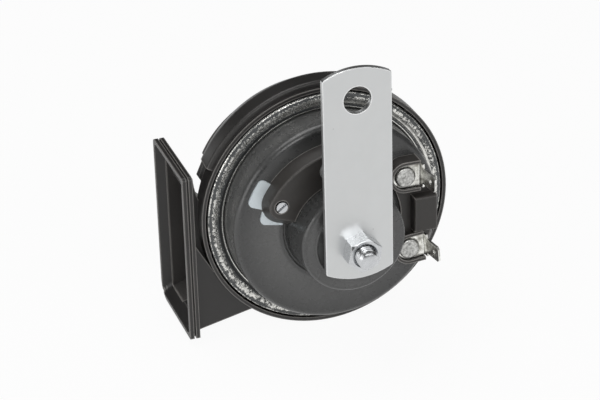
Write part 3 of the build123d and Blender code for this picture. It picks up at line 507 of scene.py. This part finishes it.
def tinned_brass():
    """Tin plating on the terminals, with dull stains, fine scratches and near-white edges, partly
    rubbed and partly a painted highlight.
    """
    finish = Finish("tinned_brass", 0.3, metallic=1.0)
    stain = finish.noise(2.4, detail=4.0, rough=0.6)
    clean = finish.spread(stain, 0.35, 0.60)
    colour = finish.mixed(clean, (0.34, 0.33, 0.30, 1.0), (0.92, 0.92, 0.88, 1.0))
    # Near-white edges: partly rubbed, partly a painted highlight.
    finish.set("Base Color", finish.mixed(finish.edges(0.3), colour, (0.97, 0.97, 0.94, 1.0)))
    finish.set("Roughness", finish.spread(stain, 0.3, 0.7, 0.38, 0.22))
    finish.rounded(0.12)
    finish.bump(finish.noise(0.3, stretch=(1.0, 1.0, 8.0)), 0.01, 0.5)
    return finish.done()


def plain(name):
    """Mottled finish of the inner pieces."""
    dark, light, roughness, metallic = PLAIN_FINISHES[name]
    finish = Finish(name, roughness, metallic=metallic)
    cloud = finish.noise(1.5, detail=3.0)
    finish.set("Base Color", finish.mixed(cloud, dark, light))
    finish.set("Roughness", finish.spread(cloud, 0.3, 0.7, roughness - 0.06, roughness + 0.06))
    finish.bump(finish.noise(0.5), 0.02, 0.4)
    return finish.done()


def copper_wire():
    """Enamelled wire wound in rows round the horn's axis."""
    finish = Finish("copper_wire", 0.3, metallic=0.8)
    cloud = finish.noise(2.0)
    finish.set("Base Color", finish.mixed(cloud, (0.30, 0.11, 0.04, 1.0), (0.55, 0.24, 0.10, 1.0)))
    waves = {"Vector": finish.place, "Scale": WIRE_ROWS_SCALE}
    rows = finish.node("ShaderNodeTexWave", waves, bands_direction="Y")
    finish.bump(rows.outputs["Fac"], 0.1)
    return finish.done()


def slot_materials():
    """One finish for each material slot of the record."""
    finishes = {
        "plated_steel": plated_steel(),
        "black_paint": black_paint(),
        "worn_paint": worn_paint(),
        "black_moulding": moulding("black_moulding"),
        "trumpet_moulding": moulding("trumpet_moulding"),
        "tinned_brass": tinned_brass(),
        "copper": copper_wire(),
    }
    for name in PLAIN_FINISHES:
        finishes[name] = plain(name)
    return finishes


# ---------------------------------------------------------------- pieces

def mesh_piece(name, points, faces, material):
    """New smooth object from points in the row frame that rides on the horn's body."""
    mesh = bpy.data.meshes.new(name)
    mesh.from_pydata(points, [], faces)
    mesh.validate()
    mesh.shade_smooth()
    piece = bpy.data.objects.new(name, mesh)
    bpy.context.scene.collection.objects.link(piece)
    mesh.materials.append(material)
    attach(piece, "horn")
    return piece


def closed_grid(rows, steps, ring_closed):
    """Faces of a grid of rows that each go once round; the rows may close on each other too."""
    faces = []
    for row in range(rows if ring_closed else rows - 1):
        start, after = row * steps, (row + 1) % rows * steps
        for step in range(steps):
            near, far = step, (step + 1) % steps
            faces.append((start + near, start + far, after + far, after + near))
    return faces


def threaded_stud(material):
    """Core and stud in one, with a real thread from the cup's top to the stud's end."""
    foot, end = height_range("core_stud")
    thread_start = height_range("spacer_washer")[0]
    step = THREAD_PITCH / THREAD_ROWS_PER_PITCH
    count = int((end - thread_start) / step)
    profile = [
        (0.0, foot),
        (STUD_CORE_R, foot),
        (STUD_CORE_R, thread_start),
        (STUD_R, thread_start),
    ]
    heights = [thread_start + (end - thread_start) * (row + 1) / count for row in range(count)]
    points = []
    for radius, height in profile:
        for turn in range(THREAD_STEPS):
            points.append(on_axis(radius, tau * turn / THREAD_STEPS, height))
    for height in heights:
        for turn in range(THREAD_STEPS):
            share = turn / THREAD_STEPS
            phase = (height / THREAD_PITCH + share) % 1.0
            groove = 1.0 - abs(2.0 * phase - 1.0)
            radius = STUD_R - THREAD_DEPTH * min(1.0, THREAD_ROOT_FLAT * groove)
            radius = min(radius, STUD_R - STUD_CHAMFER + (end - height))
            points.append(on_axis(radius, tau * share, height))
    points.extend([on_axis(0.0, 0.0, end)] * THREAD_STEPS)
    rows = len(points) // THREAD_STEPS
    piece = mesh_piece(
        "threaded_stud", points, closed_grid(rows, THREAD_STEPS, False), material
    )
    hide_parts("core_stud")


def rolled_section():
    """Rows of the rolled edge's section as (distance in, radius, height, dents, wear and painted
    highlight).
    """
    low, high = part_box("crimp_ring")
    outer = (high.x - low.x) / 2
    far, near = height_range("crimp_ring")
    flange = near - ROLL_CREST_RISE * MM
    section = []
    for rows, level in ((ROLL_NEAR_SIDE, flange), (ROLL_FAR_SIDE, far)):
        for inset, rise, dents, wear_and_highlight in rows:
            section.append((inset, outer - inset * MM, level + rise * MM, dents, wear_and_highlight))
    return section


def rolled_edge(material):
    """Rolled ring with the small dents of its closing rollers, rubbed paint and painted
    highlights: bare lines at the lip and extra bare flecks on one side of the inner slope.
    """
    section = rolled_section()
    points = []
    worn_and_highlight = []
    for inset, radius, height, dents, wear_and_highlight in section:
        on_slope = ROLL_SLOPE[0] < inset < ROLL_SLOPE[1]
        for turn in range(ROLL_STEPS):
            angle = tau * turn / ROLL_STEPS
            place = on_axis(radius, angle, height)
            coarse = noise.noise(place / ROLL_DENT_LENGTH)
            fine = noise.noise(place / ROLL_FINE_LENGTH)
            drop = ROLL_CREST_DENT * max(0.0, coarse) + ROLL_FINE_DENT * (fine + ROLL_FINE_SINK)
            points.append(on_axis(radius, angle, height - dents * drop))
            # Painted highlight: extra bare metal on the inner slope, most on one side of the ring.
            painted_highlight = max(0.0, cos(angle - radians(ROLL_PAINTED_HIGHLIGHT_SIDE))) if on_slope else 0.0
            worn_and_highlight.append(wear_and_highlight + ROLL_SLOPE_PAINTED_HIGHLIGHT * painted_highlight)
    faces = closed_grid(len(section), ROLL_STEPS, True)
    piece = mesh_piece("rolled_edge", points, faces, material)
    layer = piece.data.attributes.new("worn_and_highlight", "FLOAT", "POINT")
    layer.data.foreach_set("value", worn_and_highlight)
    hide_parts("crimp_ring")


def hex_nut(material):
    """Chamfered hexagon nut with a countersunk bore."""
    back, face = height_range("bracket_nut")
    half = NUT_FLATS / 2
    slope = tan(radians(NUT_CHAMFER_ANGLE))
    rows = []
    for row in range(NUT_CHAMFER_ROWS + 1):
        drop = NUT_CHAMFER_REACH * row / NUT_CHAMFER_ROWS
        rows.append((half * NUT_FACE_SHARE + drop / slope, face - drop))
    rows.append((NUT_FLATS, back))  # beyond the corners, so the flats alone set the outline
    rows.append((NUT_BORE_R, back))
    rows.append((NUT_BORE_R, face - NUT_SINK_DEPTH))
    rows.append((NUT_SINK_R, face))
    points = []
    for limit, height in rows:
        for turn in range(NUT_STEPS):
            angle = tau * turn / NUT_STEPS
            side = angle % (tau / 6) - tau / 12
            points.append(on_axis(min(limit, half / cos(side)), angle + radians(NUT_TURN), height))
    faces = closed_grid(len(rows), NUT_STEPS, True)
    piece = mesh_piece("hex_nut", points, faces, material)
    piece.data.set_sharp_from_angle(angle=radians(NUT_SHARP_ANGLE))
    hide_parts("bracket_nut")


def shelf_height(radius):
    """Height of the pan's shelf, which falls a little towards its outer edge."""
    share = (radius - SHELF_INNER_R) / (SHELF_OUTER_R - SHELF_INNER_R)
    return SHELF_INNER_H + share * (SHELF_OUTER_H - SHELF_INNER_H)


def cover_outline(inset, end_angle, round_r):
    """Plan points of the cover's edge, taken in by an inset except where it hugs the cup."""
    start, end = radians(COVER_START), radians(end_angle)
    middle_r = COVER_OUTER_R - round_r
    turn = end - asin(round_r / middle_r)
    middle = plan(middle_r, turn)
    outer_r = COVER_OUTER_R - inset
    end_r = round_r - inset
    outline = []
    first = start + asin(inset / outer_r)
    for step in range(COVER_ARC_STEPS + 1):
        angle = first + (turn - first) * step / COVER_ARC_STEPS
        outline.append(plan(outer_r, angle))
    for step in range(1, COVER_ROUND_STEPS + 1):
        angle = turn + (end + pi / 2 - turn) * step / COVER_ROUND_STEPS
        outline.append(middle + plan(end_r, angle))
    inner_end = end - asin(inset / COVER_INNER_R)
    inner_start = start + asin(inset / COVER_INNER_R)
    root = plan(COVER_INNER_R, inner_end)
    last = outline[-1]
    for step in range(1, COVER_END_STEPS):
        outline.append(last.lerp(root, step / COVER_END_STEPS))
    for step in range(COVER_ARC_STEPS + 1):
        angle = inner_end + (inner_start - inner_end) * step / COVER_ARC_STEPS
        outline.append(plan(COVER_INNER_R, angle))
    last = outline[-1]
    for step in range(1, COVER_START_STEPS):
        outline.append(last.lerp(outline[0], step / COVER_START_STEPS))
    return outline


def moulded_cover(material):
    """Adjuster cover with a rounded top edge and a gap round the screw."""
    top = height_range("adjuster_cover")[1]
    foot = cover_outline(-COVER_FOOT_SPREAD, COVER_FOOT_END, COVER_FOOT_END_R)
    loops = [[(point, shelf_height(point.length) + SEAT_GAP) for point in foot]]
    for row in range(COVER_EDGE_ROWS + 1):
        angle = pi / 2 * row / COVER_EDGE_ROWS
        inset = COVER_EDGE_R * (1 - cos(angle))
        height = top - COVER_EDGE_R * (1 - sin(angle))
        loops.append([(point, height) for point in cover_outline(inset, COVER_END, COVER_END_R)])
    points = []
    for loop in loops:
        for point, height in loop:
            points.append(Vector((AXIS.x + point.x, -height, AXIS.z + point.y)))
    count = len(loops[0])
    faces = closed_grid(len(loops), count, False)
    faces.append(tuple(range(count))[::-1])
    faces.append(tuple(range((len(loops) - 1) * count, len(loops) * count)))
    piece = mesh_piece("moulded_cover", points, faces, material)
    gap_floor = top - SCREW_GAP_DEPTH
    cut_round_hole(piece, centre("adjusting_screw"), SCREW_GAP_R, gap_floor, top + COVER_EDGE_R)
    piece.data.set_sharp_from_angle(angle=radians(COVER_SHARP_ANGLE))
    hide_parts("adjuster_cover")


def cut_round_hole(piece, place, radius, low_height, high_height):
    """Cuts a blind round hole along the axis into a piece."""
    steps = SCREW_GAP_STEPS
    points = []
    for height in (low_height, high_height):
        for turn in range(steps):
            angle = tau * turn / steps
            points.append((place.x + radius * cos(angle), -height, place.z + radius * sin(angle)))
    faces = closed_grid(2, steps, False)
    faces.append(tuple(range(steps))[::-1])
    faces.append(tuple(range(steps, 2 * steps)))
    mesh = bpy.data.meshes.new("hole_tool")
    mesh.from_pydata(points, [], faces)
    tool = bpy.data.objects.new("hole_tool", mesh)
    bpy.context.scene.collection.objects.link(tool)
    cut = piece.modifiers.new("hole", "BOOLEAN")
    cut.object = tool
    cut.operation = "DIFFERENCE"
    cut.solver = "EXACT"
    graph = bpy.context.evaluated_depsgraph_get()
    result = bpy.data.meshes.new_from_object(piece.evaluated_get(graph))
    piece.modifiers.clear()
    piece.data = result
    bpy.data.objects.remove(tool)


def dress_nodes(materials, bright):
    """Gives every CAD node the finish of its slot, or its own where it looks different."""
    rivet = dull_rivet()
    own = {
        "adjusting_screw": bright,
        "upper_rivet": rivet,
        "lower_rivet": rivet,
        "cover_rivet": materials["black_paint"],
        "adjuster_plate": matte_plate(),
        # The duct's lighter moulding is painted light in its shaded interior.
        "trumpet_cover": moulding("duct_moulding_painted_light"),
    }
    for part in frame["record"]["subparts"]:
        material = own.get(part["node"], materials[part["material_slot"]])
        mesh = frame["nodes"][part["node"]].data
        mesh.materials.clear()
        mesh.materials.append(material)


# ---------------------------------------------------------------- stage

def floor():
    """Pale floor that shows near white to the camera and in reflections."""
    half = FLOOR_SIZE / 2
    height = cad_box[0][2] - FLOOR_GAP
    mesh = bpy.data.meshes.new("floor")
    corners = [(-half, -half), (half, -half), (half, half), (-half, half)]
    mesh.from_pydata([(x, y, height) for x, y in corners], [], [(0, 1, 2, 3)])
    plane = bpy.data.objects.new("floor", mesh)
    bpy.context.scene.collection.objects.link(plane)
    material = bpy.data.materials.new("floor_paper")
    material.use_nodes = True
    nodes, links = material.node_tree.nodes, material.node_tree.links
    paper = nodes["Principled BSDF"]
    paper.inputs["Base Color"].default_value = FLOOR_COLOUR
    paper.inputs["Roughness"].default_value = FLOOR_ROUGHNESS
    glow = nodes.new("ShaderNodeEmission")
    glow.inputs["Color"].default_value = WHITE
    path = nodes.new("ShaderNodeLightPath")
    blend = nodes.new("ShaderNodeMixShader")
    seen = nodes.new("ShaderNodeMath")
    seen.operation = "MAXIMUM"
    share = nodes.new("ShaderNodeMath")
    share.operation = "MULTIPLY"
    share.inputs[1].default_value = FLOOR_GLOW
    links.new(path.outputs["Is Camera Ray"], seen.inputs[0])
    links.new(path.outputs["Is Glossy Ray"], seen.inputs[1])
    links.new(seen.outputs["Value"], share.inputs[0])
    links.new(share.outputs["Value"], blend.inputs[0])
    links.new(paper.outputs["BSDF"], blend.inputs[1])
    links.new(glow.outputs["Emission"], blend.inputs[2])
    links.new(blend.outputs["Shader"], nodes["Material Output"].inputs["Surface"])
    mesh.materials.append(material)


def world():
    """White to the camera, and a soft room that is darker below for the light."""
    scene_world = bpy.data.worlds.new("studio")
    bpy.context.scene.world = scene_world
    scene_world.use_nodes = True
    nodes, links = scene_world.node_tree.nodes, scene_world.node_tree.links
    room = nodes["Background"]
    place = nodes.new("ShaderNodeTexCoord")
    split = nodes.new("ShaderNodeSeparateXYZ")
    links.new(place.outputs["Generated"], split.inputs["Vector"])
    rise = nodes.new("ShaderNodeMapRange")
    links.new(split.outputs["Z"], rise.inputs["Value"])
    rise.inputs["From Min"].default_value = ROOM_LOW_Z
    rise.inputs["From Max"].default_value = ROOM_HIGH_Z
    rise.inputs["To Min"].default_value = ROOM_LOW_STRENGTH
    rise.inputs["To Max"].default_value = ROOM_HIGH_STRENGTH
    links.new(rise.outputs["Result"], room.inputs["Strength"])
    white = nodes.new("ShaderNodeBackground")
    white.inputs["Color"].default_value = WHITE
    path = nodes.new("ShaderNodeLightPath")
    blend = nodes.new("ShaderNodeMixShader")
    links.new(path.outputs["Is Camera Ray"], blend.inputs[0])
    links.new(room.outputs["Background"], blend.inputs[1])
    links.new(white.outputs["Background"], blend.inputs[2])
    links.new(blend.outputs["Shader"], nodes["World Output"].inputs["Surface"])


def lights():
    """Square lamps that face the camera's aim."""
    for name, offset, size, power in LAMPS:
        lamp = bpy.data.lights.new(name, "AREA")
        lamp.shape = "RECTANGLE"
        lamp.size, lamp.size_y = size
        lamp.energy = power
        holder = bpy.data.objects.new(name, lamp)
        bpy.context.scene.collection.objects.link(holder)
        holder.location = CAMERA_AIM + Vector(offset)
        holder.rotation_euler = (-Vector(offset)).to_track_quat("-Z", "Y").to_euler()


def camera():
    """The photo's view."""
    eye = bpy.data.cameras.new("camera")
    eye.lens = CAMERA_LENS
    eye.sensor_width = CAMERA_SENSOR
    eye.sensor_fit = "HORIZONTAL"
    holder = bpy.data.objects.new("camera", eye)
    bpy.context.scene.collection.objects.link(holder)
    turn = Matrix.Rotation(radians(CAMERA_AZIMUTH), 4, "Z")
    tilt = Matrix.Rotation(radians(90.0 - CAMERA_ELEVATION), 4, "X")
    roll = Matrix.Rotation(radians(CAMERA_ROLL), 4, "Z")
    away = Matrix.Translation((0.0, 0.0, CAMERA_DISTANCE))
    holder.matrix_world = Matrix.Translation(CAMERA_AIM) @ turn @ tilt @ roll @ away
    bpy.context.scene.camera = holder


bpy.context.scene.view_settings.view_transform = "Standard"
camera()
world()
lights()
floor()
finishes = slot_materials()
bright_steel = turned_steel()
dress_nodes(finishes, bright_steel)
threaded_stud(bright_steel)
hex_nut(bright_steel)
moulded_cover(finishes["black_moulding"])
rolled_edge(finishes["worn_paint"])
